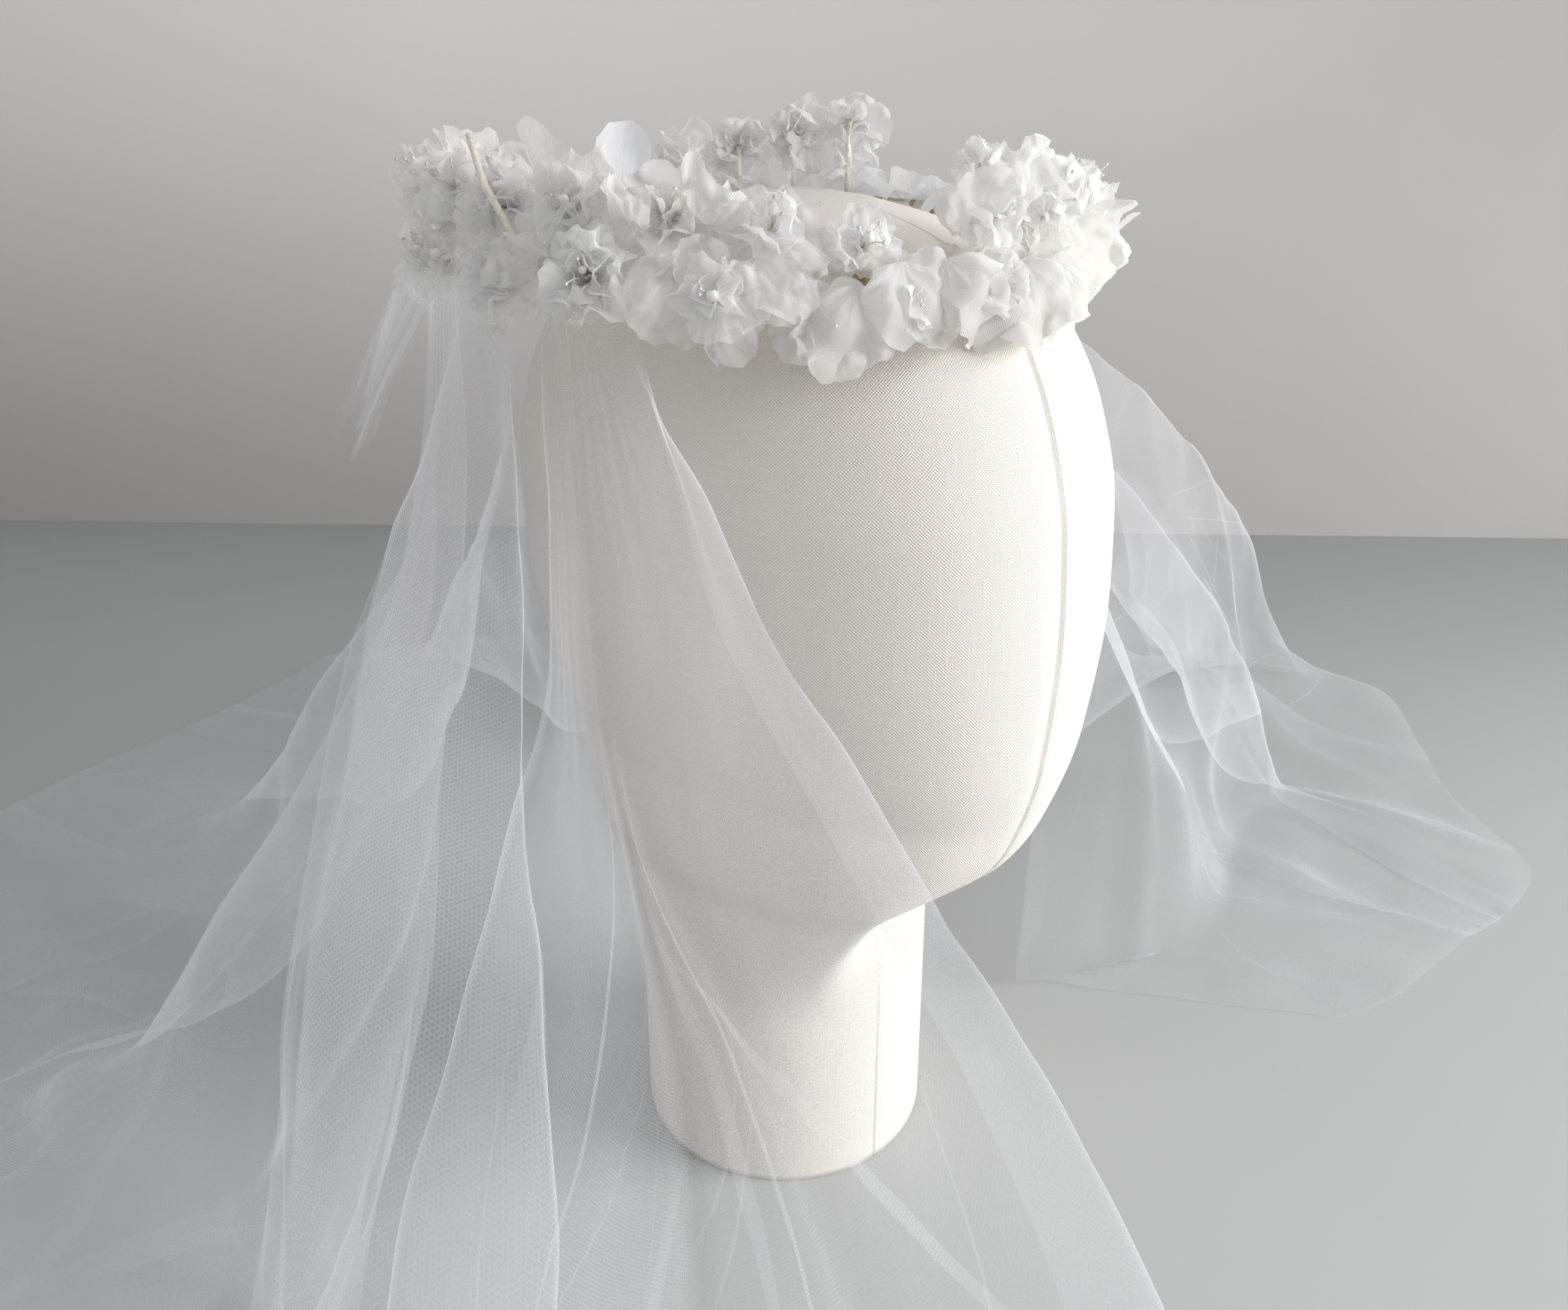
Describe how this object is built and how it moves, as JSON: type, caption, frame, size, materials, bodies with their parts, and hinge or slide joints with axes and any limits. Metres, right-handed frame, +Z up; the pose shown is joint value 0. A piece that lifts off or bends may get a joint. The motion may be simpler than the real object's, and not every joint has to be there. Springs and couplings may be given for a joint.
{
  "type": "bridal veil with flower circlet on a limbless canvas head form",
  "caption": "Gathered tulle bridal veil hanging from a floral wire circlet, draped over a canvas head form and spread on the table around its neck.",
  "frame": {"origin": "centre of the flat underside of the head form's neck, on the table", "axes": "+Z up; the head faces -Y; the wearer's right is -X and the wearer's left is +X"},
  "size_m": [0.9684, 0.9399, 0.3676],
  "materials": {
    "canvas": "plain woven cream canvas, matt",
    "floral_tape": "olive brown crepe tape wound on wire",
    "tulle": "fine white hexagonal net, sheer",
    "satin_silk": "white stiffened silk satin and organza"
  },
  "bodies": {
    "root": {"head_form": "canvas", "circlet": "floral_tape", "veil_right_edge": "tulle", "veil_right_pleat": "tulle", "veil_right_side": "tulle", "veil_back_right": "tulle", "veil_back": "tulle", "veil_back_left": "tulle", "veil_left_side": "tulle", "heading_frill": "tulle", "blossom_01": "satin_silk", "blossom_02": "satin_silk", "blossom_03": "satin_silk", "blossom_04": "satin_silk", "blossom_05": "satin_silk", "blossom_06": "satin_silk", "blossom_07": "satin_silk", "blossom_08": "satin_silk", "blossom_09": "satin_silk", "blossom_10": "satin_silk", "blossom_11": "satin_silk", "blossom_12": "satin_silk", "blossom_13": "satin_silk", "blossom_14": "satin_silk", "blossom_15": "satin_silk", "blossom_16": "satin_silk", "blossom_17": "satin_silk", "blossom_18": "satin_silk", "blossom_19": "satin_silk", "blossom_20": "satin_silk", "blossom_21": "satin_silk", "blossom_22": "satin_silk", "blossom_23": "satin_silk", "blossom_24": "satin_silk", "blossom_25": "satin_silk", "blossom_26": "satin_silk", "blossom_27": "satin_silk", "blossom_28": "satin_silk", "blossom_29": "satin_silk", "blossom_30": "satin_silk", "petal_back_round": "satin_silk", "petal_leaf_right": "satin_silk", "petal_leaf_left": "satin_silk"}
  },
  "joints": []
}
